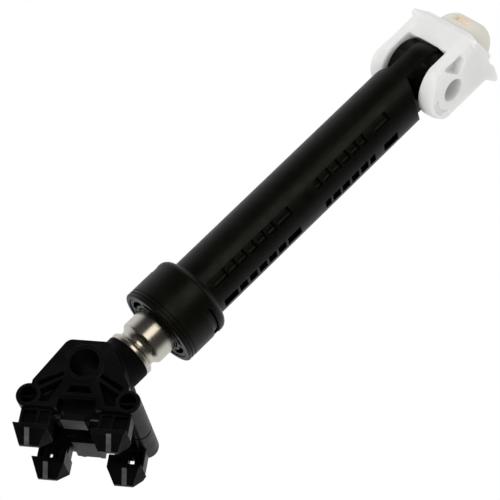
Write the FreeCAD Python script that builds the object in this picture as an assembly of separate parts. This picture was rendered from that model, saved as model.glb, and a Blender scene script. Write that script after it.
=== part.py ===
import FreeCAD, Part
import math
import os

from FreeCAD import Placement, Rotation, Vector

# Friction damper of a front-loading washing machine, in millimetres.
# Z runs up the damper from the foot bracket to the tub clip, the origin is the centre of the upper pivot
# and X is the axis of that pivot. The foot is turned and swung aside, as it lies in the photograph.

# The whole damper
PIVOT_SPAN = 207.5        # upper pivot to lower pivot, rod nearly pushed home
COLLAR_TO_FOOT = 36.9     # open face of the collar above the lower pivot
ROD_TURN = 8.9            # turn of the rod and foot about the damper axis, degrees
FOOT_LEAN = 35.7          # swing of the foot about the lower pivot, degrees
ROD_DIAMETER = 22.0
ROD_WALL = 1.2
RUN_GAP = 0.08            # radial gap of the rod in its linings
PIVOT_GAP = 0.1           # radial gap of a pivot in its bore
SLIDE_GAP = 0.4           # gap between faces that pass each other
SEAT_GAP = 0.15           # gap between pieces that are pushed together
REACH = 60.0              # how far a cutter runs past the piece it cuts

# Housing: tube, collar and eye
TUBE_DIAMETER = 28.8
BORE_DIAMETER = 23.2
BORE_TOP = 30.0           # closed end of the bore below the upper pivot
COLLAR_DIAMETER = 38.4
COLLAR_LENGTH = 23.5
COLLAR_ROUNDING = 3.6     # closed end of the collar
COLLAR_FOOT = 1.2         # fillet where the tube meets the collar
MOUTH_CHAMFER = 0.5
CHAMBER_DIAMETER = 33.8
CHAMBER_DEPTH = 19.1
GROOVE_WIDTH = 0.6        # two fine grooves round the collar
GROOVE_DEPTH = 0.4
GROOVE_PLACES = (1.8, 3.6)
WINDOW_HEIGHT = 3.4       # two latch windows in the collar
WINDOW_ABOVE_MOUTH = 15.3
WINDOW_ANGLE = 70.0
WINDOW_TURN = 10.0
TONGUE = 10.0             # flat eye between the ears
SCALLOP_RADIUS = 18.6     # room in the tube for the ears to swing
HUB_DIAMETER = 24.4

# Pockets in the sides of the tube
PULL_TURN = -17.6         # direction in which the mould halves open
POCKET_NEAR = 3.7         # sides of a pocket from the parting plane
POCKET_FAR = 8.0
POCKET_FLOOR = 12.6
POCKET_LENGTH = 4.57
POCKET_RIB = 1.47
LOWER_ROW_START = 3.8     # above the collar
LOWER_ROW_LENGTH = 47.8
LOWER_ROW_RIBS = 6
ROW_SPACE = 16.0          # plain stretch between the two rows
LAST_POCKET_TOP = 32.5    # below the upper pivot
LAST_POCKET_LENGTH = 8.9
LAST_POCKET_SPACE = 5.9

# Friction chamber
CAP_INSET = 0.4           # end cap behind the open face
CAP_THICKNESS = 4.2
CAP_RECESS_INNER = 12.8
CAP_RECESS_OUTER = 14.9
CAP_RECESS_DEPTH = 2.2
CAP_WEBS = 6
CAP_WEB = 2.6
ARM_INNER = 15.3
ARM_ANGLE = 64.0
CATCH_RADIUS = 17.6
LINING_LENGTH = 6.3
WASHER_THICKNESS = 1.4
STACK_GAP = 0.1
STOP_DIAMETER = 21.0
STOP_THICKNESS = 6.0

# Rod
ROD_END = 19.8            # lower end of the steel above the lower pivot
ROD_TOP = 48.0            # upper end of the steel below the upper pivot
ROLL_DEPTH = 2.0          # rolled groove that grips the end fitting
ROLL_CENTRE = 4.9         # groove above the lower end of the steel
ROLL_FLAT = 1.6
ROLL_SLOPE = 2.0
ROLL_ROUNDINGS = (1.2, 0.7, 0.8)
NO_ROUNDINGS = (0, 0, 0)   # hidden grooves are left sharp
ROD_END_ROUNDING = 0.8
SHANK_LENGTH = 27.0
SHOULDER_DIAMETER = 22.0
PLUG_LENGTH = 16.0
PLUG_HEAD = 4.6           # part of the plug that stands out of the steel
PLUG_NECK = 18.4
GUIDE_LENGTH = 2.6
EYE_DIAMETER = 30.2
EYE_WIDTH = 28.8
EYE_BORE = 25.2
EYE_CHAMFER = 0.6
BUSH_WIDTH = 26.8
SLEEVE_OUTER = 20.0

# Foot bracket, in its own frame: x across, y from front to rear, z up, origin on the lower pivot
FOOT_TRUNNION = 16.5
FOOT_BORE = 12.3
FRONT_FACE = 23.4
REAR_FACE = 21.8
PLATE_INSIDE = 16.0
SEAM = 2.0                # joint of the two halves, behind the pivot
SEAM_GAP = 0.1
SEAM_CHAMFER = 0.4
PLATE_TOP = 10.6
PLATE_TOP_HALF = 9.0
PLATE_TOP_ROUNDING = 4.0
PLATE_WAIST_HALF = 20.5
PLATE_WAIST_Z = -9.0
PLATE_BOTTOM = -20.6
BARREL_X = 21.0
BARREL_Z = -15.8
BARREL_DIAMETER = 10.6
BARREL_HOLLOW = 7.2
BARREL_HOLLOW_DEPTH = 7.0
BARREL_WEB = 1.0          # web across the hollow, below its mouth
BARREL_WEB_DEPTH = 2.5
BARREL_REAR = 23.2
BARREL_REAR_ROUNDING = 2.6
SPIGOT_DIAMETER = 6.8
SPIGOT_LENGTH = 6.0
RING_DIAMETER = 16.8
RING_HEIGHT = 0.6
WEAR_DIAMETER = 21.8      # inner face that the eye runs against
RECESS_DEPTH = 4.4
RIB_SLOT = ((-8.1, -4.3), (-18.4, -9.7), (-17.3, -11.7), (-7.4, -5.8))
RIB_CORNER = ((-7.2, -7.4), (-16.6, -13.0), (-16.6, -18.4), (-12.1, -18.4))
RIB_PANEL = ((-3.9, -10.4), (3.9, -10.4), (5.6, -13.4), (-5.6, -13.4))
RECESS_ROUNDING = 0.4
WINDOW_HALF = 8.2         # recess between the legs
WINDOW_TOP = -16.3
WINDOW_ROUNDING = 1.2
LIP_TOP = -15.4           # fine groove above that recess
LIP_WIDTH = 0.5
PANEL = 2.0               # wall that closes the recess
BAR_TOP = -24.2
BAR_BOTTOM = -26.6
SKIRT = 1.8               # skirt that hangs between the legs, below the front plate
TONGUE_HALF = 5.2
FRONT_TONGUE = -25.1      # front edge of the tongue between the front feet
REAR_TONGUE = (-2.8, 11.6)  # front and rear edge of the tongue between the rear feet
LEG_INSIDE = 9.9
LEG_OUTSIDE = 23.2
LEG_ROOT = 3.0            # overlap of leg and plate
LEG_WALL = 2.2
LEG_SETBACK = 6.0         # front of a leg behind the front of its foot
LEG_FRONT = 4.0           # wall between the pockets of a leg and the hollow behind it
LEG_SLOT = (16.4, 18.4)   # slot through a rear leg
LEG_SLOT_HEIGHT = 5.2
OUTER_POCKET = (16.4, 22.0)
OUTER_POCKET_DEPTH = 2.6
LEG_POCKET = (11.2, 15.0)
LEG_POCKET_TOP = -21.8
LEG_POCKET_DEPTH = 1.3
BARB_X = 23.8
BARB_TOP = -30.2
BAND_BOTTOM = -32.4
TOE_BOTTOM = -38.1
FOOT_FRONT_START = -27.5
FOOT_REAR_START = 6.5
FOOT_DEPTH = 12.5
TOE_SLOPE = 4.7           # front of a foot, from the band to the toe
TOE_EDGE = 1.6            # depth of the blunt lower edge of a toe
TOE_TOP = (9.2, 22.7)     # sides of the wedge under the band
TOE_END = (12.4, 20.5)
STRIP_X = 17.0
STRIP_WIDTH = 2.5
STRIP_HEIGHT = 0.6

# Tub clip
EAR_FACE = 19.1
EAR_INSIDE = 11.3
EAR_RADIUS = 15.2
EAR_FRONT = 12.1          # straight edge on the hook side
EAR_BACK = -14.6          # straight edge on the other side, rounded over towards the outer face
FLANGE_FACE = 13.0        # where the rounding begins
EAR_RIM = 1.2             # rounding of the lower edge of the ear
EAR_STEPS = 5             # sections through the rounding
EAR_POCKET_FLOOR = 14.0
EAR_POCKET = ((-12.7, -1.1), (-12.7, 10.4), (-10.2, 10.2), (-4.6, 5.6))
ARC_POCKET = (9.8, 12.6)  # inner and outer radius of the shallow pocket below the boss
ARC_POCKET_DEPTH = 1.2
ARC_POCKET_ENDS = (-2.0, 8.6)
CLIP_TRUNNION = 15.0
CLIP_BORE = 11.2
TRUNNION_INSIDE = 3.0
ARCH_GAP = 0.8            # arch of the fork round the head of the housing
ARCH_SIDE = 9.6           # where the arch comes down to the hub
WALL_FOOT = (-13.8, 7.4)  # lower edge of the wall between the ears
WALL_FRONT_FOOT = 9.2     # height of its lower edge on the hook side
WALL_TOP = 17.2
BRIDGE_EDGE = (-14.3, 19.4)
BRIDGE_RIDGE = (-4.0, 23.6)
HOOK = ((12.1, 19.5), (19.0, 25.0), (18.4, 27.0), (9.0, 26.2), (5.6, 24.2))
HOOK_ROUNDING = 0.5
BUMP = ((-1.7, 23.0), (2.5, 23.0), (2.2, 25.2), (-1.4, 25.2))
COLLAR_LOW = (19.1, -13.9, 9.0, 19.4)    # half length, rear, front and height of the pad's collar
COLLAR_HIGH = (12.6, -12.4, 9.0, 22.6)
PAD_SEAT = 22.0
PAD_RISE = 2.4            # axis of the dome above the seat
PAD_HALF = 12.0
PAD_RADIUS = 12.4
PAD_ROUNDING = 7.0
PAD_CENTRE_Y = 3.4
STEM_HALF_X = 6.0
STEM_HALF_Y = 6.5
STEM_BOTTOM = 15.9
PAD_POCKET_HALF = 4.2
PAD_POCKET_FLOOR = -5.0
PAD_POCKET_ENDS = (27.6, 31.6)

# Places that follow from the driving dimensions
FOOT_Z = -PIVOT_SPAN
MOUTH_Z = FOOT_Z + COLLAR_TO_FOOT
COLLAR_TOP_Z = MOUTH_Z + COLLAR_LENGTH
CHAMBER_TOP_Z = MOUTH_Z + CHAMBER_DEPTH
BORE_TOP_Z = -BORE_TOP
ROD_END_Z = FOOT_Z + ROD_END
ROD_TOP_Z = -ROD_TOP
ROD_RADIUS = ROD_DIAMETER / 2
TUBE_RADIUS = TUBE_DIAMETER / 2
COLLAR_RADIUS = COLLAR_DIAMETER / 2
HUB_HALF = EAR_INSIDE - SLIDE_GAP
AXIS_X = Vector(1, 0, 0)
AXIS_Y = Vector(0, 1, 0)
AXIS_Z = Vector(0, 0, 1)
ORIGIN = Vector(0, 0, 0)


def rounded_wire(corners, to_space):
    """Closed outline through corners (a, b, rounding), with an arc at each rounded corner."""
    entries = []
    count = len(corners)
    for index in range(count):
        a, b, rounding = corners[index]
        here = Vector(a, b, 0)
        back = Vector(corners[index - 1][0], corners[index - 1][1], 0) - here
        ahead = Vector(corners[(index + 1) % count][0], corners[(index + 1) % count][1], 0) - here
        back.normalize()
        ahead.normalize()
        if rounding == 0:
            entries.append((here, None, here))
            continue
        half = back.getAngle(ahead) / 2
        bisector = back + ahead
        bisector.normalize()
        reach = rounding / math.tan(half)
        middle = here + bisector * (rounding / math.sin(half) - rounding)
        entries.append((here + back * reach, middle, here + ahead * reach))
    edges = []
    for index in range(count):
        entry, middle, leave = entries[index]
        following = entries[(index + 1) % count][0]
        if middle is not None:
            edges.append(Part.Arc(to_space(entry), to_space(middle), to_space(leave)).toShape())
        if leave.distanceToPoint(following) > 1e-6:
            edges.append(Part.makeLine(to_space(leave), to_space(following)))
    return Part.Wire(edges)


def slab_xz(corners, start, end):
    """Outline in x and z, carried along y."""
    wire = rounded_wire(corners, lambda p: Vector(p.x, start, p.y))
    return Part.Face(wire).extrude(Vector(0, end - start, 0))


def slab_yz(corners, start, end):
    """Outline in y and z, carried along x."""
    wire = rounded_wire(corners, lambda p: Vector(start, p.x, p.y))
    return Part.Face(wire).extrude(Vector(end - start, 0, 0))


def turned(corners):
    """Outline in radius and z, turned about the damper axis."""
    wire = rounded_wire(corners, lambda p: Vector(p.x, 0, p.y))
    return Part.Face(wire).revolve(ORIGIN, AXIS_Z, 360)


def turned_x(corners):
    """Outline in x and radius, turned about the upper pivot."""
    wire = rounded_wire(corners, lambda p: Vector(p.x, 0, p.y))
    return Part.Face(wire).revolve(ORIGIN, AXIS_X, 360)


def plain(pairs, rounding=0):
    """Corners of an outline from pairs, all with the same rounding."""
    return [(a, b, rounding) for a, b in pairs]


def rod(radius, start, end):
    """Round bar between two points."""
    way = end - start
    return Part.makeCylinder(radius, way.Length, start, way)


def rod_x(radius, start, end):
    return rod(radius, Vector(start, 0, 0), Vector(end, 0, 0))


def rod_y(radius, start, end, x=0, z=0):
    return rod(radius, Vector(x, start, z), Vector(x, end, z))


def rod_z(radius, start, end):
    return rod(radius, Vector(0, 0, start), Vector(0, 0, end))


def block(xs, ys, zs):
    """Rectangular block from three pairs of limits."""
    size = (xs[1] - xs[0], ys[1] - ys[0], zs[1] - zs[0])
    return Part.makeBox(size[0], size[1], size[2], Vector(xs[0], ys[0], zs[0]))


def sector(inner, outer, start, end, centre, angle):
    """Part of a ring about the damper axis, centred on a direction in degrees."""
    solid = Part.makeCylinder(outer, end - start, Vector(0, 0, start), AXIS_Z, angle)
    solid = solid.cut(rod_z(inner, start - 1, end + 1))
    solid.rotate(ORIGIN, AXIS_Z, centre - angle / 2)
    return solid


def taper(lower, upper):
    """Straight-sided wedge between two level rectangles (x0, x1, y0, y1, z)."""
    wires = []
    for x0, x1, y0, y1, z in (lower, upper):
        points = [Vector(x0, y0, z), Vector(x1, y0, z), Vector(x1, y1, z), Vector(x0, y1, z)]
        wires.append(Part.makePolygon(points + points[:1]))
    return Part.makeLoft(wires, True, True)


def flip_x(shape):
    return shape.mirror(ORIGIN, AXIS_X)


def flip_y(shape):
    return shape.mirror(ORIGIN, AXIS_Y)


def both(shape):
    """A shape and its mirror image across x."""
    return [shape, flip_x(shape)]


def join(shapes):
    return shapes[0].multiFuse(shapes[1:]).removeSplitter()


def on_foot(shape):
    """Carry a shape from the foot's own frame to its turned and leaning place."""
    lean = Rotation(AXIS_Y, -FOOT_LEAN)
    turn = Rotation(AXIS_Z, ROD_TURN)
    moved = shape.copy()
    moved.Placement = Placement(Vector(0, 0, FOOT_Z), turn.multiply(lean))
    return moved


def on_rod(shape):
    """Carry a shape that turns with the rod to its place, without the lean."""
    moved = shape.copy()
    moved.Placement = Placement(Vector(0, 0, FOOT_Z), Rotation(AXIS_Z, ROD_TURN))
    return moved


def pocket_row(start, end, ribs):
    """Pockets between two heights: equal ones in the middle, the two end ones take the rest."""
    rest = (end - start - ribs * POCKET_RIB - (ribs - 1) * POCKET_LENGTH) / 2
    lengths = [rest] + [POCKET_LENGTH] * (ribs - 1) + [rest]
    spans = []
    at = start
    for length in lengths:
        spans.append((at, at + length))
        at = at + length + POCKET_RIB
    return spans


def pocket_spans():
    lower_start = COLLAR_TOP_Z + LOWER_ROW_START
    lower_end = lower_start + LOWER_ROW_LENGTH
    last_start = -LAST_POCKET_TOP - LAST_POCKET_LENGTH
    upper_start = lower_end + ROW_SPACE
    upper_end = last_start - LAST_POCKET_SPACE
    upper_ribs = int((upper_end - upper_start) / (POCKET_LENGTH + POCKET_RIB))
    spans = pocket_row(lower_start, lower_end, LOWER_ROW_RIBS)
    spans = spans + pocket_row(upper_start, upper_end, upper_ribs)
    spans.append((last_start, -LAST_POCKET_TOP))
    return spans


def pockets():
    """Cutter for the four rows of pockets, straight walls along the pull of the mould."""
    blocks = []
    reach = TUBE_RADIUS + 1
    for low, high in pocket_spans():
        for near, far in ((POCKET_NEAR, POCKET_FAR), (-POCKET_FAR, -POCKET_NEAR)):
            blocks.append(block((0, reach), (near, far), (low, high)))
            blocks.append(block((-reach, 0), (near, far), (low, high)))
    core = rod_z(POCKET_FLOOR, MOUTH_Z, 0)
    cutter = Part.makeCompound(blocks).cut(core)
    cutter.rotate(ORIGIN, AXIS_Z, PULL_TURN)
    return cutter


def housing_tube():
    grooves = []
    for place in GROOVE_PLACES:
        z = MOUTH_Z + place
        grooves.append((COLLAR_RADIUS, z - GROOVE_WIDTH / 2, 0))
        grooves.append((COLLAR_RADIUS - GROOVE_DEPTH, z - GROOVE_WIDTH / 2, 0))
        grooves.append((COLLAR_RADIUS - GROOVE_DEPTH, z + GROOVE_WIDTH / 2, 0))
        grooves.append((COLLAR_RADIUS, z + GROOVE_WIDTH / 2, 0))
    outline = [(0, MOUTH_Z, 0), (COLLAR_RADIUS - MOUTH_CHAMFER, MOUTH_Z, 0)]
    outline.append((COLLAR_RADIUS, MOUTH_Z + MOUTH_CHAMFER, 0))
    outline = outline + grooves
    outline.append((COLLAR_RADIUS, COLLAR_TOP_Z, COLLAR_ROUNDING))
    outline.append((TUBE_RADIUS, COLLAR_TOP_Z, COLLAR_FOOT))
    outline.append((TUBE_RADIUS, 0, 0))
    outline.append((0, 0, 0))
    body = turned(outline).fuse(Part.makeSphere(TUBE_RADIUS))
    scallop = rod_x(SCALLOP_RADIUS, TONGUE / 2, TUBE_DIAMETER)
    body = body.cut(Part.makeCompound(both(scallop)))
    hub = rod_x(HUB_DIAMETER / 2, -HUB_HALF, HUB_HALF)
    body = join([body, hub])
    pivot_bore = rod_x(CLIP_TRUNNION / 2 + PIVOT_GAP, -REACH, REACH)
    bore = rod_z(BORE_DIAMETER / 2, MOUTH_Z - 1, BORE_TOP_Z)
    chamber = rod_z(CHAMBER_DIAMETER / 2, MOUTH_Z - 1, CHAMBER_TOP_Z)
    window_z = MOUTH_Z + WINDOW_ABOVE_MOUTH
    cutters = [pivot_bore, bore, chamber]
    for turn in (WINDOW_TURN, WINDOW_TURN + 180):
        window = sector(ARM_INNER, COLLAR_DIAMETER, window_z, window_z + WINDOW_HEIGHT, turn, WINDOW_ANGLE)
        cutters.append(window)
    for cutter in cutters:
        body = body.cut(cutter)
    return body.cut(pockets())


def end_cap():
    radius = CHAMBER_DIAMETER / 2 - SEAT_GAP
    low = MOUTH_Z + CAP_INSET
    high = low + CAP_THICKNESS
    body = rod_z(radius, low, high)
    recess = rod_z(CAP_RECESS_OUTER, low - 1, low + CAP_RECESS_DEPTH)
    recess = recess.cut(rod_z(CAP_RECESS_INNER, low - 2, high))
    for index in range(CAP_WEBS):
        web = block((0, radius), (-CAP_WEB / 2, CAP_WEB / 2), (low - 2, high))
        web.rotate(ORIGIN, AXIS_Z, ROD_TURN + 360 / CAP_WEBS * index)
        recess = recess.cut(web)
    body = body.cut(recess)
    window_z = MOUTH_Z + WINDOW_ABOVE_MOUTH
    parts = [body]
    for turn in (WINDOW_TURN, WINDOW_TURN + 180):
        top = CHAMBER_TOP_Z - SLIDE_GAP
        parts.append(sector(ARM_INNER, radius, low + CAP_RECESS_DEPTH, top, turn, ARM_ANGLE))
        catch_low = window_z + STACK_GAP
        catch_high = window_z + WINDOW_HEIGHT - STACK_GAP
        parts.append(sector(ARM_INNER, CATCH_RADIUS, catch_low, catch_high, turn, ARM_ANGLE))
    body = join(parts)
    return body.cut(rod_z(ROD_RADIUS + SLIDE_GAP, low - 1, CHAMBER_TOP_Z))


def stack():
    """Two linings with the washer between them, from the end cap upwards."""
    low = MOUTH_Z + CAP_INSET + CAP_THICKNESS + STACK_GAP
    outer = ARM_INNER - SEAT_GAP
    pieces = []
    for length, gap in ((LINING_LENGTH, RUN_GAP), (WASHER_THICKNESS, SLIDE_GAP), (LINING_LENGTH, RUN_GAP)):
        solid = rod_z(outer, low, low + length)
        pieces.append(solid.cut(rod_z(ROD_RADIUS + gap, low - 1, low + length + 1)))
        low = low + length + STACK_GAP
    return pieces


def bump_stop():
    low = BORE_TOP_Z - STOP_THICKNESS
    radius = STOP_DIAMETER / 2
    return turned([(0, low, 0), (radius, low, 0), (radius, BORE_TOP_Z, 0), (0, BORE_TOP_Z, 0)])


def roll_outline(radius, roundings):
    """The rolled groove on a given radius, from its upper to its lower edge."""
    centre = ROD_END_Z + ROLL_CENTRE
    waist = radius - ROLL_DEPTH
    flat = ROLL_FLAT / 2
    slope = flat + ROLL_SLOPE
    upper, middle, lower = roundings
    return [(radius, centre + slope, upper), (waist, centre + flat, middle),
            (waist, centre - flat, middle), (radius, centre - slope, lower)]


def rod_tube():
    inside = ROD_RADIUS - ROD_WALL
    outer = [(ROD_RADIUS, ROD_TOP_Z, 0)] + roll_outline(ROD_RADIUS, ROLL_ROUNDINGS)
    outer.append((ROD_RADIUS, ROD_END_Z, ROD_END_ROUNDING))
    inner = [(inside, ROD_TOP_Z, 0)] + roll_outline(inside, NO_ROUNDINGS) + [(inside, ROD_END_Z, 0)]
    return turned(outer + inner[::-1])


def rod_plug():
    inside = ROD_RADIUS - ROD_WALL - SEAT_GAP
    neck = PLUG_NECK / 2
    low = ROD_TOP_Z - PLUG_LENGTH
    ledge = ROD_TOP_Z + SEAT_GAP
    top = ROD_TOP_Z + PLUG_HEAD
    lip = top - (PLUG_HEAD - GUIDE_LENGTH) / 2 + SEAT_GAP
    seat = ledge + (PLUG_HEAD - GUIDE_LENGTH) / 2 - SEAT_GAP
    flange = ROD_RADIUS - SEAT_GAP
    return turned([(0, low, 0), (inside, low, 0), (inside, ledge, 0), (flange, ledge, 0), (flange, seat, 0),
                   (neck, seat, 0), (neck, lip, 0), (flange, lip, 0), (flange, top, 0), (0, top, 0)])


def guide_ring():
    seat = ROD_TOP_Z + SEAT_GAP + (PLUG_HEAD - GUIDE_LENGTH) / 2 - SEAT_GAP
    low = seat + STACK_GAP
    high = low + GUIDE_LENGTH
    ring = rod_z(BORE_DIAMETER / 2 - RUN_GAP, low, high)
    return ring.cut(rod_z(PLUG_NECK / 2 + RUN_GAP, low - 1, high + 1))


def rod_eye():
    inside = ROD_RADIUS - ROD_WALL - SEAT_GAP
    top = ROD_END_Z + SHANK_LENGTH
    ledge = ROD_END_Z - SEAT_GAP
    shoulder = SHOULDER_DIAMETER / 2
    shank = turned([(0, FOOT_Z, 0), (shoulder, FOOT_Z, 0), (shoulder, ledge, 0), (inside, ledge, 0)]
                   + roll_outline(inside, NO_ROUNDINGS)[::-1] + [(inside, top, 0), (0, top, 0)])
    eye = rod_y(EYE_DIAMETER / 2, -EYE_WIDTH / 2, EYE_WIDTH / 2)
    eye = eye.makeChamfer(EYE_CHAMFER, [edge for edge in eye.Edges if edge.Curve.TypeId == "Part::GeomCircle"])
    body = join([shank, on_rod(eye)])
    return body.cut(on_rod(rod_y(EYE_BORE / 2, -EYE_WIDTH, EYE_WIDTH)))


def eye_bush():
    body = rod_y(EYE_BORE / 2 - SEAT_GAP / 3, -BUSH_WIDTH / 2, BUSH_WIDTH / 2)
    return on_rod(body.cut(rod_y(SLEEVE_OUTER / 2 + SEAT_GAP / 3, -BUSH_WIDTH, BUSH_WIDTH)))


def eye_sleeve():
    body = rod_y(SLEEVE_OUTER / 2, -EYE_WIDTH / 2, EYE_WIDTH / 2)
    return on_rod(body.cut(rod_y(FOOT_TRUNNION / 2 + PIVOT_GAP, -EYE_WIDTH, EYE_WIDTH)))


def foot_plate(face):
    """Side plate of the foot with its ribs, drawn for the front, outer face at y = -face."""
    outline = [(-PLATE_TOP_HALF, PLATE_TOP, PLATE_TOP_ROUNDING), (PLATE_TOP_HALF, PLATE_TOP, PLATE_TOP_ROUNDING),
               (PLATE_WAIST_HALF, PLATE_WAIST_Z, 0), (BARREL_X, PLATE_BOTTOM, 0),
               (-BARREL_X, PLATE_BOTTOM, 0), (-PLATE_WAIST_HALF, PLATE_WAIST_Z, 0)]
    plate = slab_xz(outline, -face, -PLATE_INSIDE)
    ring = rod_y(RING_DIAMETER / 2, -face - RING_HEIGHT, -PLATE_INSIDE)
    wear_face = rod_y(WEAR_DIAMETER / 2, -PLATE_INSIDE - PANEL, -EYE_WIDTH / 2 - SLIDE_GAP)
    front = -face - REACH
    floor = -face + RECESS_DEPTH
    slot = slab_xz(plain(RIB_SLOT, RECESS_ROUNDING), front, floor)
    corner = slab_xz(plain(RIB_CORNER, RECESS_ROUNDING), front, floor)
    panel = slab_xz(plain(RIB_PANEL, RECESS_ROUNDING), front, floor)
    lip = block((-WINDOW_HALF, WINDOW_HALF), (front, -face + LIP_WIDTH), (LIP_TOP - LIP_WIDTH, LIP_TOP))
    below = PLATE_BOTTOM - PANEL
    window = slab_xz([(-WINDOW_HALF, WINDOW_TOP, WINDOW_ROUNDING), (WINDOW_HALF, WINDOW_TOP, WINDOW_ROUNDING),
                      (WINDOW_HALF, below, 0), (-WINDOW_HALF, below, 0)], front, -PLATE_INSIDE - PANEL)
    cutters = both(slot) + both(corner) + [panel, lip, window]
    plate = join([plate, ring, wear_face])
    return plate.cut(Part.makeCompound(cutters))


def foot_leg(toe_start):
    """Right-hand leg, hollow from behind, with its barbed foot and the wedge under it."""
    leg_start = toe_start + LEG_SETBACK
    toe_end = toe_start + FOOT_DEPTH
    leg = block((LEG_INSIDE, LEG_OUTSIDE), (leg_start, toe_end), (BARB_TOP, PLATE_BOTTOM + LEG_ROOT))
    hollow = block((LEG_INSIDE + LEG_WALL, LEG_OUTSIDE - LEG_WALL), (leg_start + LEG_FRONT, REACH),
                   (BARB_TOP, PLATE_BOTTOM))
    pocket = block(LEG_POCKET, (leg_start - REACH, leg_start + LEG_POCKET_DEPTH),
                   (BARB_TOP + LEG_POCKET_DEPTH, LEG_POCKET_TOP))
    outer_pocket = block(OUTER_POCKET, (leg_start - REACH, leg_start + OUTER_POCKET_DEPTH),
                         (BARB_TOP, LEG_POCKET_TOP))
    leg = leg.cut(Part.makeCompound([hollow, pocket, outer_pocket]))
    band = slab_xz(plain([(TOE_TOP[0], BAND_BOTTOM), (TOE_TOP[1], BAND_BOTTOM), (BARB_X, BARB_TOP),
                          (TOE_TOP[0], BARB_TOP)]), toe_start, toe_end)
    upper = (TOE_TOP[0], TOE_TOP[1], toe_start, toe_end, BAND_BOTTOM)
    edge_start = toe_start + TOE_SLOPE
    edge_end = edge_start + TOE_EDGE
    lower = (TOE_END[0], TOE_END[1], edge_start, edge_end, TOE_BOTTOM)
    wedge = taper(lower, upper)
    strip_start = STRIP_X - STRIP_WIDTH / 2
    strip_end = STRIP_X + STRIP_WIDTH / 2
    upper = (strip_start, strip_end, toe_start - STRIP_HEIGHT, toe_start + TOE_EDGE, BAND_BOTTOM)
    lower = (strip_start, strip_end, edge_start - STRIP_HEIGHT, edge_end, TOE_BOTTOM)
    strip = taper(lower, upper)
    return join([leg, band, wedge, strip])


def foot_barrel(start, end):
    """Plain barrel at one side of the foot, with the round edges of its ends."""
    barrel = rod_y(BARREL_DIAMETER / 2, start, end, BARREL_X, BARREL_Z)
    rims = [edge for edge in barrel.Edges if edge.Curve.TypeId == "Part::GeomCircle"]
    return barrel, rims


def foot_front():
    plate = foot_plate(FRONT_FACE)
    joint = SEAM - SEAM_GAP / 2
    barrel, rims = foot_barrel(-FRONT_FACE, joint)
    barrel = barrel.makeChamfer(SEAM_CHAMFER, rims)
    spigot = rod_y(SPIGOT_DIAMETER / 2, joint - 1, joint + SPIGOT_LENGTH, BARREL_X, BARREL_Z)
    trunnion = rod_y(FOOT_TRUNNION / 2, -PLATE_INSIDE - PANEL, joint)
    leg = foot_leg(FOOT_FRONT_START)
    wall = block((-TONGUE_HALF, TONGUE_HALF), (-PLATE_INSIDE - PANEL, -PLATE_INSIDE), (BAR_BOTTOM, WINDOW_TOP))
    skirt = block((-LEG_INSIDE - LEG_WALL, LEG_INSIDE + LEG_WALL), (-PLATE_INSIDE - PANEL, -PLATE_INSIDE),
                  (PLATE_BOTTOM - SKIRT, PLATE_BOTTOM + PANEL))
    tongue = block((-TONGUE_HALF, TONGUE_HALF), (FRONT_TONGUE, -PLATE_INSIDE), (BAR_BOTTOM, BAR_TOP))
    body = join([plate, trunnion, wall, skirt, tongue] + both(barrel) + both(spigot) + both(leg))
    hollow = rod_y(BARREL_HOLLOW / 2, -FRONT_FACE - 1, -FRONT_FACE + BARREL_HOLLOW_DEPTH, BARREL_X, BARREL_Z)
    web = block((0, REACH), (-FRONT_FACE + BARREL_WEB_DEPTH, 0),
                (BARREL_Z - BARREL_WEB / 2, BARREL_Z + BARREL_WEB / 2))
    hollow = hollow.cut(web)
    bore = rod_y(FOOT_BORE / 2, -REACH, joint + 1)
    return body.cut(Part.makeCompound(both(hollow) + [bore]))


def foot_rear():
    plate = flip_y(foot_plate(REAR_FACE))
    joint = SEAM + SEAM_GAP / 2
    barrel, rims = foot_barrel(joint, BARREL_REAR)
    far_rim = [edge for edge in rims if edge.BoundBox.YMin > joint + 1]
    barrel = barrel.makeFillet(BARREL_REAR_ROUNDING, far_rim)
    near_rim = [edge for edge in barrel.Edges if abs(edge.BoundBox.YMax - joint) < 1e-3]
    barrel = barrel.makeChamfer(SEAM_CHAMFER, near_rim)
    trunnion = rod_y(FOOT_TRUNNION / 2, joint, PLATE_INSIDE + PANEL)
    leg = foot_leg(FOOT_REAR_START)
    toe_end = FOOT_REAR_START + FOOT_DEPTH
    wall = block((-TONGUE_HALF, TONGUE_HALF), (REAR_TONGUE[1] - PANEL, REAR_TONGUE[1]), (BAR_BOTTOM, PLATE_BOTTOM))
    gusset = block((TONGUE_HALF - PANEL, TONGUE_HALF), (REAR_TONGUE[1] - PANEL, PLATE_INSIDE + PANEL),
                   (BAR_TOP, PLATE_BOTTOM + PANEL))
    cheek = block((TOE_TOP[0], LEG_INSIDE + LEG_WALL), (FOOT_REAR_START, toe_end), (BARB_TOP, BAR_BOTTOM))
    tongue = block((-TONGUE_HALF, TONGUE_HALF), REAR_TONGUE, (BAR_BOTTOM, BAR_TOP))
    body = join([plate, trunnion, wall, tongue] + both(barrel) + both(leg) + both(cheek) + both(gusset))
    socket = rod_y(SPIGOT_DIAMETER / 2 + SEAT_GAP, joint - 1, joint + SPIGOT_LENGTH + SEAT_GAP, BARREL_X, BARREL_Z)
    bore = rod_y(FOOT_BORE / 2, joint - 1, REACH)
    slot = block(LEG_SLOT, (FOOT_REAR_START, toe_end), (BARB_TOP, BARB_TOP + LEG_SLOT_HEIGHT))
    return body.cut(Part.makeCompound(both(socket) + both(slot) + [bore]))


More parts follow.
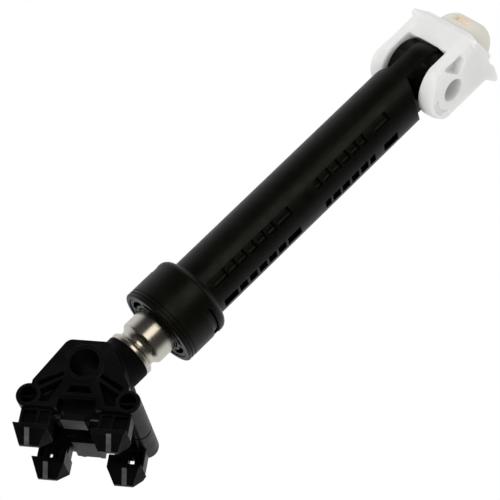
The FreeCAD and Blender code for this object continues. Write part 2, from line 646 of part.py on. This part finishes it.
def ear_wire(angle):
    """Ear outline at one section of the rounding: round below, straight up both sides into the bridge."""
    depth = EAR_FACE - FLANGE_FACE
    drawn_in = 1 - math.cos(angle)
    x = FLANGE_FACE + depth * math.sin(angle)
    back = EAR_BACK + depth * drawn_in
    radius = EAR_RADIUS - EAR_RIM * drawn_in
    low_back = -math.sqrt(radius ** 2 - back ** 2)
    low_front = -math.sqrt(radius ** 2 - EAR_FRONT ** 2)
    points = [Vector(x, back, WALL_TOP + 1), Vector(x, back, low_back),
              Vector(x, EAR_FRONT, low_front), Vector(x, EAR_FRONT, WALL_TOP + 1)]
    arc = Part.Arc(points[1], Vector(x, 0, -radius), points[2]).toShape()
    return Part.Wire([Part.makeLine(points[0], points[1]), arc, Part.makeLine(points[2], points[3]),
                      Part.makeLine(points[3], points[0])])


def clip_ear():
    """Ear on the +X side: a round flange, rounded over to its outer face, with two pockets."""
    flange = Part.Face(ear_wire(0)).extrude(Vector(EAR_INSIDE - FLANGE_FACE, 0, 0))
    sections = [ear_wire(math.pi / 2 * step / (EAR_STEPS - 1)) for step in range(EAR_STEPS)]
    outer = Part.makeLoft(sections, True, True)
    pocket = slab_yz(plain(EAR_POCKET), EAR_POCKET_FLOOR, REACH)
    arc = rod_x(ARC_POCKET[1], EAR_FACE - ARC_POCKET_DEPTH, REACH).cut(rod_x(ARC_POCKET[0], 0, 2 * REACH))
    arc = arc.common(block((0, REACH), ARC_POCKET_ENDS, (-EAR_RADIUS, 0)))
    return flange.fuse(outer).cut(Part.makeCompound([pocket, arc]))


def pad_dome(gap):
    """Dome of the pad with rounded ends, down to its seat, grown by a gap."""
    half = PAD_HALF + gap
    dome = rod_x(PAD_RADIUS + gap, -half, half)
    rims = [edge for edge in dome.Edges if edge.Curve.TypeId == "Part::GeomCircle"]
    dome = dome.makeFillet(PAD_ROUNDING, rims)
    dome.translate(Vector(0, PAD_CENTRE_Y, PAD_SEAT + PAD_RISE))
    return dome.common(block((-REACH, REACH), (-REACH, REACH), (PAD_SEAT + SEAT_GAP - gap, REACH)))


def clip_fork():
    edge_y, edge_z = BRIDGE_EDGE
    bridge = slab_yz(plain([(edge_y, WALL_TOP), (EAR_FRONT, WALL_TOP)])
                     + plain(HOOK, HOOK_ROUNDING) + plain([BRIDGE_RIDGE, BRIDGE_EDGE]), -EAR_FACE, EAR_FACE)
    bump = slab_yz(plain(BUMP), -EAR_FACE, EAR_FACE)
    wall = slab_yz(plain([WALL_FOOT, (EAR_FRONT, WALL_FRONT_FOOT), (EAR_FRONT, edge_z), (edge_y, edge_z),
                          (edge_y, WALL_TOP)]), -FLANGE_FACE, FLANGE_FACE)
    collar = taper((-COLLAR_LOW[0], COLLAR_LOW[0], COLLAR_LOW[1], COLLAR_LOW[2], COLLAR_LOW[3]),
                   (-COLLAR_HIGH[0], COLLAR_HIGH[0], COLLAR_HIGH[1], COLLAR_HIGH[2], COLLAR_HIGH[3]))
    body = join([bridge, bump, wall, collar] + both(clip_ear()))
    head_room = TUBE_RADIUS + ARCH_GAP
    hub_room = HUB_DIAMETER / 2 + ARCH_GAP
    tongue_room = TONGUE / 2 + ARCH_GAP
    arch = turned_x(plain([(-EAR_INSIDE, 0), (EAR_INSIDE, 0), (EAR_INSIDE, hub_room), (ARCH_SIDE, hub_room),
                           (tongue_room, head_room), (-tongue_room, head_room), (-ARCH_SIDE, hub_room),
                           (-EAR_INSIDE, hub_room)]))
    opening = block((-STEM_HALF_X, STEM_HALF_X), (-STEM_HALF_Y, STEM_HALF_Y), (0, REACH))
    body = body.cut(arch).cut(opening).cut(pad_dome(SEAT_GAP))
    trunnion = rod_x(CLIP_TRUNNION / 2, TRUNNION_INSIDE, EAR_FACE)
    body = join([body] + both(trunnion))
    return body.cut(rod_x(CLIP_BORE / 2, -REACH, REACH))


def clip_pad():
    stem = block((-STEM_HALF_X + SEAT_GAP, STEM_HALF_X - SEAT_GAP),
                 (-STEM_HALF_Y + SEAT_GAP, STEM_HALF_Y - SEAT_GAP), (STEM_BOTTOM, PAD_SEAT + PAD_RISE))
    body = join([pad_dome(0), stem])
    pocket = block((-PAD_POCKET_HALF, PAD_POCKET_HALF), (-REACH, PAD_POCKET_FLOOR), PAD_POCKET_ENDS)
    return body.cut(pocket)


def main():
    os.makedirs("parts", exist_ok=True)
    lower, washer, upper = stack()
    pieces = {
        "clip_fork": clip_fork(),
        "clip_pad": clip_pad(),
        "housing_tube": housing_tube(),
        "end_cap": end_cap(),
        "friction_lining_lower": lower,
        "lining_washer": washer,
        "friction_lining_upper": upper,
        "bump_stop": bump_stop(),
        "rod_tube": rod_tube(),
        "rod_plug": rod_plug(),
        "guide_ring": guide_ring(),
        "rod_eye": rod_eye(),
        "eye_bush": eye_bush(),
        "eye_sleeve": eye_sleeve(),
        "foot_front": on_foot(foot_front()),
        "foot_rear": on_foot(foot_rear()),
    }
    for name, shape in pieces.items():
        solids = shape.Solids
        print(name, len(solids), shape.isValid(), round(shape.Volume), shape.BoundBox)
        solids[0].exportStep("parts/" + name + ".step")


main()
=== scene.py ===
# %% [markdown]
# A washing machine shock absorber, dressed in Blender.
# The damper's solids come from the CAD model, so every size and every joint is settled already.
# This lesson adds what a solid lacks: softened moulding edges, plastics with a grain, plated steel,
# soft studio light and a camera that stands where the photographer stood.

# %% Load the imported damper
import math

import bmesh
import bpy
from mathutils import Matrix, Vector


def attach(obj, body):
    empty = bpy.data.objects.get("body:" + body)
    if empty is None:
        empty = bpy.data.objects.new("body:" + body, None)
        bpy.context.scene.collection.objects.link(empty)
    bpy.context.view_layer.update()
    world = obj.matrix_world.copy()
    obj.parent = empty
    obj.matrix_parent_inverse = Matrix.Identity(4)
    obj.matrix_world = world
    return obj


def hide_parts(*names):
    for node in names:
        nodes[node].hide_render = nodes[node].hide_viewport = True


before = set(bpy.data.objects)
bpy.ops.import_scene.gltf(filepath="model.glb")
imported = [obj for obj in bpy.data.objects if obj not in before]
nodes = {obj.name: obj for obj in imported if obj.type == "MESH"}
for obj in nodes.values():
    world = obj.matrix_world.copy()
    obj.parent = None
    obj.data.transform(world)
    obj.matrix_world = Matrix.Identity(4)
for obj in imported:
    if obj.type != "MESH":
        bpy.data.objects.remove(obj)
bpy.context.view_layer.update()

# %% [markdown]
# The camera was found by fitting the tube's edges, the two pivots and the feet to the photograph.
# A camera can be aimed with a Track To constraint, but its roll is then left to chance,
# so here the three directions of the picture are written straight into its matrix.

# %% Camera
PICTURE_RIGHT = Vector((0.6859, 0.2363, 0.6883))
PICTURE_DOWN = Vector((0.4704, 0.5777, -0.6671))
PICTURE_IN = Vector((-0.5553, 0.7813, 0.2851))
EYE_POINT = Vector((0.4584, -0.6391, -0.3506))
SENSOR_MM = 36.0
LENS_MM = 135.8
NEAREST_SEEN = 0.05

scene = bpy.context.scene
camera_data = bpy.data.cameras.new("photo_camera")
camera_data.sensor_fit = "HORIZONTAL"
camera_data.sensor_width = SENSOR_MM
camera_data.lens = LENS_MM
camera_data.clip_start = NEAREST_SEEN
camera = bpy.data.objects.new("photo_camera", camera_data)
turn = Matrix((PICTURE_RIGHT, -PICTURE_DOWN, -PICTURE_IN)).transposed().to_4x4()
camera.matrix_world = Matrix.Translation(EYE_POINT) @ turn
scene.collection.objects.link(camera)
scene.camera = camera
print("camera at", tuple(EYE_POINT), "lens", LENS_MM)

# %% [markdown]
# Black plastic shows little of its own colour: what the eye reads is what it mirrors.
# In the photograph the sides and the lower faces mirror a white table and the front mirrors a dark room.
# A picture of a real studio could be wrapped round the scene, but one number for each direction is enough:
# how far a ray points towards the white side behind the damper, from 0 to 1.

# %% A direction for the world
WHITE_TILT = 0.08
WHITE_SIDE = (PICTURE_IN + PICTURE_DOWN * WHITE_TILT + PICTURE_RIGHT * WHITE_TILT).normalized()


def add(tree, kind, **settings):
    """Add a node and set its properties by name."""
    node = tree.nodes.new(kind)
    for name, value in settings.items():
        setattr(node, name, value)
    return node


def put(node, socket, value):
    """Write a constant on one of a node's own input sockets."""
    node.inputs[socket].default_value = value


def link(source, target):
    """Join an output socket to an input socket of the same node tree."""
    source.id_data.links.new(source, target)


scene.view_settings.view_transform = "Standard"
world = bpy.data.worlds.new("studio")
scene.world = world
world.use_nodes = True
studio = world.node_tree
studio.nodes.clear()
facing = add(studio, "ShaderNodeVectorMath", operation="DOT_PRODUCT")
put(facing, 1, WHITE_SIDE)
link(add(studio, "ShaderNodeTexCoord").outputs["Generated"], facing.inputs[0])
share = add(studio, "ShaderNodeMapRange")
put(share, "From Min", -1.0)
link(facing.outputs["Value"], share.inputs["Value"])
print("white side:", tuple(WHITE_SIDE))

# %% [markdown]
# That number now becomes a shade for mirrored rays. Three stops give the dark room on the photographer's
# side, the pale table behind the damper and a soft edge between them. Two stops would do for a plain fade,
# but the place of the edge decides how wide the bright rims of the black pieces are.

# %% World for mirrored rays
DARK_ROOM = (0.36, (0.04, 0.039, 0.038))
TABLE_EDGE = (0.47, (0.38, 0.38, 0.39))
WHITE_TABLE = (0.62, (0.74, 0.75, 0.77))


def ramp(value, first, last, *between):
    """A colour ramp through stops, each a position and a colour, driven by a value."""
    node = add(value.id_data, "ShaderNodeValToRGB")
    stops = node.color_ramp.elements
    for stop, (position, colour) in zip(stops, (first, last)):
        stop.position = position
        stop.color = (*colour, 1)
    for position, colour in between:
        stops.new(position).color = (*colour, 1)
    link(value, node.inputs["Fac"])
    return node.outputs["Color"]


mirrored = add(studio, "ShaderNodeBackground")
link(ramp(share.outputs["Result"], DARK_ROOM, WHITE_TABLE, TABLE_EDGE), mirrored.inputs["Color"])
print("mirrored room from", DARK_ROOM[0], "to", WHITE_TABLE[0])

# %% [markdown]
# Three kinds of rays see three worlds. Rays straight from the camera see plain white, mirrored rays see the
# room made above, and all others see one even white, a little weaker, that lights the damper from every side.
# Lamps alone could light it too, but then the gaps between the ribs would be quite black.
# The Light Path node tells the rays apart.

# %% World for every ray
WHITE = (1, 1, 1, 1)
FILL_STRENGTH = 0.83


def either(first, second):
    """1 where at least one of two tests is 1."""
    node = add(first.id_data, "ShaderNodeMath", operation="MAXIMUM")
    link(first, node.inputs[0])
    link(second, node.inputs[1])
    return node.outputs["Value"]


def mix(test, shader_at_0, shader_at_1):
    """Choose between two shaders by a test."""
    node = add(test.id_data, "ShaderNodeMixShader")
    link(test, node.inputs["Fac"])
    link(shader_at_0, node.inputs[1])
    link(shader_at_1, node.inputs[2])
    return node.outputs["Shader"]


fill = add(studio, "ShaderNodeBackground")
put(fill, "Color", WHITE)
put(fill, "Strength", FILL_STRENGTH)
plain = add(studio, "ShaderNodeBackground")
put(plain, "Color", WHITE)
rays = add(studio, "ShaderNodeLightPath").outputs
sharp = either(rays["Is Glossy Ray"], rays["Is Transmission Ray"])
lighting = mix(sharp, fill.outputs["Background"], mirrored.outputs["Background"])
seen = mix(rays["Is Camera Ray"], lighting, plain.outputs["Background"])
link(seen, add(studio, "ShaderNodeOutputWorld").inputs["Surface"])
print("world nodes:", len(studio.nodes))

# %% [markdown]
# Four soft lamps do the modelling. A large one above and to the left, a small one near by on the left of the
# camera and one low on the right shape the pale clip: its rims, walls and ear faces become different whites.
# None of these three is mirrored, because the world already draws the edges of the black plastic.
# A slightly warm one over the camera is only mirrored: it lays a sheen on the tube and a band on the steel.
# A round bar mirrors a lamp where its skin faces half way between lamp and eye, which gives that lamp's place.

# %% Lamps
MIDDLE = Vector((0, 0, -0.1))
KEY_OFFSET = PICTURE_DOWN * -0.8 + PICTURE_RIGHT * -0.45 + PICTURE_IN * 0.05
LEFT_OFFSET = Vector((0.1, -0.88, -0.46)) * 0.45
SIDE_OFFSET = PICTURE_DOWN * 0.45 + PICTURE_RIGHT * 0.75 + PICTURE_IN * 0.15
SHEEN_OFFSET = Vector((0.43, -0.85, 0.285)) * 0.9
SHEEN_COLOUR = (1.0, 0.94, 0.84)


def lamp(name, offset, size, watts):
    """A square area lamp that stands off the middle of the damper and is aimed at it."""
    data = bpy.data.lights.new(name, "AREA")
    data.size = size
    data.energy = watts
    item = bpy.data.objects.new(name, data)
    aim = (-offset).to_track_quat("-Z", "Y").to_matrix().to_4x4()
    item.matrix_world = Matrix.Translation(MIDDLE + offset) @ aim
    item.visible_camera = False
    item.visible_glossy = False
    scene.collection.objects.link(item)
    return item


key = lamp("key_lamp", KEY_OFFSET, size=0.6, watts=0.4)
left = lamp("left_lamp", LEFT_OFFSET, size=0.16, watts=0.58)
side = lamp("side_lamp", SIDE_OFFSET, size=0.4, watts=0.25)
sheen = lamp("sheen_lamp", SHEEN_OFFSET, size=0.5, watts=1.3)
sheen.data.color = SHEEN_COLOUR
sheen.visible_diffuse = False
sheen.visible_glossy = True
print("lamps:", key.name, left.name, side.name, sheen.name)

# %% [markdown]
# The floor is a pale sheet well below the damper, because the damper is shown held by its clip.
# It catches the shadow.

# %% Floor sheet
FLOOR_Z = -0.46
FLOOR_HALF = 4.0
floor_mesh = bpy.data.meshes.new("floor")
sheet = bmesh.new()
bmesh.ops.create_grid(sheet, x_segments=1, y_segments=1, size=FLOOR_HALF)
bmesh.ops.translate(sheet, verts=sheet.verts, vec=(0, 0, FLOOR_Z))
sheet.to_mesh(floor_mesh)
sheet.free()
floor = bpy.data.objects.new("floor", floor_mesh)
scene.collection.objects.link(floor)
print("floor at", FLOOR_Z)

# %% [markdown]
# The sheet is matt white paper. Mirrored rays pass through it to the world, so that the black fronts of the
# feet don't mirror white paper. Its underside is clear too, so that a camera below it still sees the damper.
# More light on the floor would whiten it, but would also fall on the damper. A faint glow that only
# the camera sees lifts the paper to nearly white instead, and leaves the shadow in it.

# %% Floor paper
PAPER_WHITE = (0.96, 0.96, 0.96, 1)
PAPER_ROUGH = 0.9
PAPER_GLOW = 0.16


def new_material(name):
    """A material made of nodes, with its node tree and its shader."""
    material = bpy.data.materials.new(name)
    material.use_nodes = True
    return material, material.node_tree, material.node_tree.nodes["Principled BSDF"]


paper, paper_tree, paper_shader = new_material("floor_paper")
put(paper_shader, "Base Color", PAPER_WHITE)
put(paper_shader, "Roughness", PAPER_ROUGH)
put(paper_shader, "Emission Color", WHITE)
paper_rays = add(paper_tree, "ShaderNodeLightPath").outputs
lift = add(paper_tree, "ShaderNodeMath", operation="MULTIPLY")
put(lift, 1, PAPER_GLOW)
link(paper_rays["Is Camera Ray"], lift.inputs[0])
link(lift.outputs["Value"], paper_shader.inputs["Emission Strength"])
underside = add(paper_tree, "ShaderNodeNewGeometry").outputs["Backfacing"]
clear = add(paper_tree, "ShaderNodeBsdfTransparent").outputs["BSDF"]
surface = mix(either(paper_rays["Is Glossy Ray"], underside), paper_shader.outputs["BSDF"], clear)
link(surface, paper_tree.nodes["Material Output"].inputs["Surface"])
floor_mesh.materials.append(paper)
print("paper nodes:", len(paper_tree.nodes))

# %% [markdown]
# The rod is drawn steel tube with a thin warm plating. Drawing leaves faint streaks along the tube,
# so the noise that drives colour and gloss is squeezed across the tube and stretched along it.
# A picture of drawn steel could be wrapped round the rod, but noise has no seam and needs no unwrapping.
# Every noise reads Object coordinates, in metres, so a scale of 1000 is a grain of about a millimetre.

# %% Plated steel
NOISE_LOW = 0.3
NOISE_HIGH = 0.7
STREAK_STRETCH = (1.0, 1.0, 0.04)
STREAK_SCALE = 700
PLATING_DARK = (0.65, 0.61, 0.53)
PLATING_LIGHT = (0.7, 0.665, 0.59)
PLATING_ROUGH = (0.21, 0.27)


def noise(place, scale, detail=4.0):
    """The value of a noise texture at a place."""
    node = add(place.id_data, "ShaderNodeTexNoise")
    put(node, "Scale", scale)
    put(node, "Detail", detail)
    link(place, node.inputs["Vector"])
    return node.outputs["Fac"]


def span(value, low, high):
    """Spread the middle of a noise over a range."""
    node = add(value.id_data, "ShaderNodeMapRange")
    put(node, "From Min", NOISE_LOW)
    put(node, "From Max", NOISE_HIGH)
    put(node, "To Min", low)
    put(node, "To Max", high)
    link(value, node.inputs["Value"])
    return node.outputs["Result"]


steel, steel_tree, steel_shader = new_material("plated_steel")
stretch = add(steel_tree, "ShaderNodeMapping")
put(stretch, "Scale", STREAK_STRETCH)
link(add(steel_tree, "ShaderNodeTexCoord").outputs["Object"], stretch.inputs["Vector"])
streaks = noise(stretch.outputs["Vector"], STREAK_SCALE)
tint = ramp(streaks, (NOISE_LOW, PLATING_DARK), (NOISE_HIGH, PLATING_LIGHT))
link(tint, steel_shader.inputs["Base Color"])
link(span(streaks, *PLATING_ROUGH), steel_shader.inputs["Roughness"])
put(steel_shader, "Metallic", 1.0)
print("steel nodes:", len(steel_tree.nodes))

# %% [markdown]
# Glass-filled nylon looks black from afar and mottled close by: the resin is shiny, the fibres near the
# skin are dull. One noise varies the colour, a second the roughness, and a fine one lifts the skin.
# Each moulding could have a material wired for it alone, but one recipe with a few numbers makes them all.

# %% Black moulding
GLOSS_FINER = 2.3
GRAIN_HEIGHT = 0.0002
EVEN_SCATTER = (1.0, 1.0, 1.0)
NYLON = {"patch": 90, "grain": 1400}
BLACK = {"dark": (0.0012, 0.0012, 0.0012), "light": (0.003, 0.003, 0.0029)}


def finish_of(name, dark, light, rough, patch, grain, bump, glow=0.0, depth=0.002, shine=0.5):
    """A procedural finish: mottled colour, uneven gloss and a fine grain."""
    material, tree, shader = new_material(name)
    place = add(tree, "ShaderNodeTexCoord").outputs["Object"]
    mottle = ramp(noise(place, patch), (NOISE_LOW, dark), (NOISE_HIGH, light))
    link(mottle, shader.inputs["Base Color"])
    gloss = span(noise(place, patch * GLOSS_FINER, detail=6.0), *rough)
    link(gloss, shader.inputs["Roughness"])
    skin = add(tree, "ShaderNodeBump")
    put(skin, "Strength", bump)
    put(skin, "Distance", GRAIN_HEIGHT)
    link(noise(place, grain, detail=3.0), skin.inputs["Height"])
    link(skin.outputs["Normal"], shader.inputs["Normal"])
    put(shader, "Specular IOR Level", shine)
    put(shader, "Subsurface Weight", glow)
    put(shader, "Subsurface Radius", EVEN_SCATTER)
    put(shader, "Subsurface Scale", depth)
    return material


black = finish_of("black_moulding", **BLACK, **NYLON, rough=(0.3, 0.42), bump=0.18, shine=0.2)
print("black nodes:", len(black.node_tree.nodes))

# %% [markdown]
# The same recipe makes the other plastics and the rubber. The tube has a faint olive sheen and the rod's eye
# is matt. The white clip lets light into its skin, so much of its light is scattered inside.
# The inner pieces get their finish too, because they show when the damper is taken apart.

# %% Other plastics and rubber
OLIVE = {"dark": (0.0015, 0.0018, 0.0006), "light": (0.0034, 0.004, 0.0014)}
tube_black = finish_of("tube_moulding", **OLIVE, **NYLON, rough=(0.3, 0.42), bump=0.18, shine=0.16)
matt = finish_of("matt_moulding", **BLACK, **NYLON, rough=(0.5, 0.65), bump=0.3, shine=0.06)
white = finish_of("white_moulding", dark=(0.77, 0.77, 0.76), light=(0.82, 0.82, 0.81),
                  rough=(0.32, 0.45), patch=60, grain=900, bump=0.06, glow=0.8, depth=0.005)
cream = finish_of("cream_pad", dark=(0.74, 0.705, 0.62), light=(0.79, 0.765, 0.69),
                  rough=(0.45, 0.6), patch=80, grain=900, bump=0.1, glow=0.2)
rubber = finish_of("black_rubber", dark=(0.008, 0.008, 0.008), light=(0.015, 0.015, 0.015),
                   rough=(0.6, 0.8), patch=150, grain=2000, bump=0.3)
foam = finish_of("greased_foam", dark=(0.2, 0.16, 0.08), light=(0.34, 0.28, 0.16),
                 rough=(0.5, 0.9), patch=300, grain=1500, bump=0.6)
pale = finish_of("pale_guide", dark=(0.7, 0.69, 0.64), light=(0.78, 0.77, 0.73),
                 rough=(0.35, 0.5), patch=80, grain=1000, bump=0.1)
print("finishes:", [item.name for item in (tube_black, matt, white, cream, rubber, foam, pale)])

# %% [markdown]
# A moulding never has a knife edge: the steel of the mould is rounded, and light runs along that rounding.
# The solids are sharp, so each visible moulding is copied, its loose triangles are merged and its outer edges
# get a small bevel. A Bevel modifier could do this too, but an operator leaves a plain mesh to look at.
# Only outward edges are taken, because a fillet in an inner corner could touch the piece that sits there.

# %% Bevel the mouldings
MERGE_WITHIN = 2e-6
FLAT_WITHIN = math.radians(1)
BEVEL_FROM = math.radians(38)
BEVEL_SEGMENTS = 2
BEVEL_WIDTHS = {
    "clip_pad": 0.0004, "housing_tube": 0.00025, "end_cap": 0.0002,
    "rod_eye": 0.0003, "foot_front": 0.00022, "foot_rear": 0.00022,
}


def merged_copy(name):
    """A bmesh of a solid with its loose triangles merged."""
    shape = bmesh.new()
    shape.from_mesh(nodes[name].data)
    bmesh.ops.remove_doubles(shape, verts=shape.verts, dist=MERGE_WITHIN)
    return shape


def is_outer(edge):
    """True for an outward edge that is sharp enough for a bevel."""
    return edge.is_manifold and edge.is_convex and edge.calc_face_angle() > BEVEL_FROM


bevelled = {}
for name, width in BEVEL_WIDTHS.items():
    shape = merged_copy(name)
    bmesh.ops.dissolve_limit(shape, angle_limit=FLAT_WITHIN, verts=shape.verts, edges=shape.edges)
    edges = [edge for edge in shape.edges if is_outer(edge)]
    bmesh.ops.bevel(shape, geom=edges, offset=width, offset_type="OFFSET", affect="EDGES",
                    segments=BEVEL_SEGMENTS, profile=0.5, material=-1, clamp_overlap=False, loop_slide=True)
    bmesh.ops.triangulate(shape, faces=[face for face in shape.faces if len(face.verts) > 4])
    bevelled[name] = shape
    print(name, "bevelled edges:", len(edges))

# %% [markdown]
# Each bevelled shape becomes a piece that stands for its solid and rides on the body that carries it.
# Flat shading would show every facet of the round parts, and plain smooth shading would bend the light on the
# flat ones. Weighted normals follow the wide faces, so the light rolls over the narrow bevels alone.

# %% Place the mouldings
SHADE_SHARP_FROM = math.radians(42)
CARRIERS = {
    "clip_pad": "clip", "housing_tube": "housing", "end_cap": "housing",
    "rod_eye": "rod", "foot_front": "foot", "foot_rear": "foot",
}


def new_piece(name, shape):
    """A piece of the scene from a bmesh, which is freed."""
    data = bpy.data.meshes.new(name)
    shape.to_mesh(data)
    shape.free()
    piece = bpy.data.objects.new(name, data)
    scene.collection.objects.link(piece)
    return piece


soft_pieces = {}
for name, body in CARRIERS.items():
    piece = new_piece(name + "_soft", bevelled[name])
    for polygon in piece.data.polygons:
        polygon.use_smooth = True
    piece.data.set_sharp_from_angle(angle=SHADE_SHARP_FROM)
    even = piece.modifiers.new("even_shading", "WEIGHTED_NORMAL")
    even.keep_sharp = True
    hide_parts(name)
    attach(piece, body)
    soft_pieces[name] = piece
    print(name, "faces:", len(piece.data.polygons))

# %% [markdown]
# The white fork is another matter: its walls run into each other in soft curves, like soap.
# A bevel would have to know every one of those corners. A voxel remesh wraps the solid in one even skin
# instead, and a few passes of smoothing round every edge and fill every inner corner at once.

# %% Round over the fork
FORK_VOXEL = 0.00036
FORK_PULL = 0.5
FORK_PASSES = 9
fork = new_piece("clip_fork_soft", merged_copy("clip_fork"))
wrap = fork.modifiers.new("skin", "REMESH")
wrap.mode = "VOXEL"
wrap.voxel_size = FORK_VOXEL
wrap.use_smooth_shade = True
relax = fork.modifiers.new("relax", "SMOOTH")
relax.factor = FORK_PULL
relax.iterations = FORK_PASSES
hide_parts("clip_fork")
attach(fork, "clip")
soft_pieces["clip_fork"] = fork
bpy.context.view_layer.update()
wrapped = fork.evaluated_get(bpy.context.evaluated_depsgraph_get()).data
print("fork faces after the remesh:", len(wrapped.polygons))

# %% [markdown]
# Every piece now gets its finish. The copies carry it in their own material slot, the other solids in theirs.
# A call for each piece would do, but a table of names shows at a glance which pieces share a finish.

# %% Dress the pieces
FINISHES = {
    "clip_fork": white, "clip_pad": cream, "housing_tube": tube_black, "end_cap": tube_black,
    "friction_lining_lower": foam, "friction_lining_upper": foam, "lining_washer": black,
    "bump_stop": rubber, "rod_tube": steel, "rod_plug": black, "guide_ring": pale, "rod_eye": matt,
    "eye_bush": rubber, "eye_sleeve": pale, "foot_front": black, "foot_rear": black,
}
for name, finish in FINISHES.items():
    slots = nodes[name].data.materials
    slots.clear()
    slots.append(finish)
    if name in soft_pieces:
        soft_pieces[name].data.materials.append(finish)
print("dressed:", len(FINISHES))

# %% [markdown]
# Each toe of the foot carries one raised strip down its slope. Its flat face catches the light, and that
# reflection is painted into it as a pale grey colour. The slopes at the sides of each toe and the inside of
# the pivot's bore keep the matt skin of the mould. These faces could be picked by hand in Edit Mode, but a
# test of place and direction in the foot's own frame, which is turned and leaning, finds them again after
# every change.

# %% Painted reflection on the strips, matt faces of the foot
FOOT_TURN = math.radians(8.9)
FOOT_LEAN = math.radians(35.7)
LOWER_PIVOT = Vector((0, 0, -0.2075))
TOE_TOP = -0.0308
STRIP_PLACE = 0.0170
STRIP_HALF = 0.0009
BORE_SKIN = 0.0066
FACING_FRONT = -0.6
FACING_DOWN = -0.3
FACING_SIDE = 0.7
PLAIN_SLOT, REFLECTION_SLOT, MATT_SLOT = 0, 1, 2
to_foot = (Matrix.Rotation(FOOT_TURN, 3, "Z") @ Matrix.Rotation(-FOOT_LEAN, 3, "Y")).transposed()
# The pale grey of the strips is a painted reflection of the light on their flat faces.
strip_reflection = finish_of("painted_strip_reflection", dark=(0.046, 0.048, 0.051), light=(0.083, 0.085, 0.089),
                 rough=(0.4, 0.55), patch=400, grain=1800, bump=0.2)


def foot_slot(polygon):
    """The material slot for one face of the foot."""
    place = to_foot @ (polygon.center - LOWER_PIVOT)
    way = to_foot @ polygon.normal
    on_toe = place.z < TOE_TOP and way.z < FACING_DOWN
    if math.hypot(place.x, place.z) < BORE_SKIN or (on_toe and abs(way.x) > FACING_SIDE):
        return MATT_SLOT
    # Faces of the strips get the painted reflection.
    if on_toe and way.y < FACING_FRONT and abs(abs(place.x) - STRIP_PLACE) < STRIP_HALF:
        return REFLECTION_SLOT
    return PLAIN_SLOT


for name in ("foot_front", "foot_rear"):
    data = soft_pieces[name].data
    data.materials.append(strip_reflection)
    data.materials.append(matt)
    chosen = [foot_slot(polygon) for polygon in data.polygons]
    data.polygons.foreach_set("material_index", chosen)
    print(name, "worn faces:", chosen.count(REFLECTION_SLOT), "matt faces:", chosen.count(MATT_SLOT))

# %% [markdown]
# The pad is thin where its pocket is, and its core shines through warmer there.
# A second piece could be set into the pocket, but a finish of its own on the pocket's faces is enough.
# They lie inside a small box on the camera's side of the pad, away from the round skin.

# %% Warm pocket in the pad
POCKET_HALF = 0.0043
POCKET_FRONT = -0.0049
POCKET_LOW = 0.0275
POCKET_HIGH = 0.0317
SQUARE_ENOUGH = 0.99
WARM_SLOT = 1
amber = finish_of("cream_recess", dark=(0.9, 0.78, 0.61), light=(0.92, 0.85, 0.72),
                  rough=(0.5, 0.65), patch=120, grain=900, bump=0.1, glow=0.2)
pad_data = soft_pieces["clip_pad"].data
pad_data.materials.append(amber)
warm = 0
for polygon in pad_data.polygons:
    x, y, z = polygon.center
    in_box = abs(x) < POCKET_HALF and y < POCKET_FRONT and POCKET_LOW < z < POCKET_HIGH
    square = max(abs(part) for part in polygon.normal) > SQUARE_ENOUGH
    if in_box and square:
        polygon.material_index = WARM_SLOT
        warm += 1
print("pocket faces:", warm)

# %% [markdown]

# %% Done
print("damper dressed")
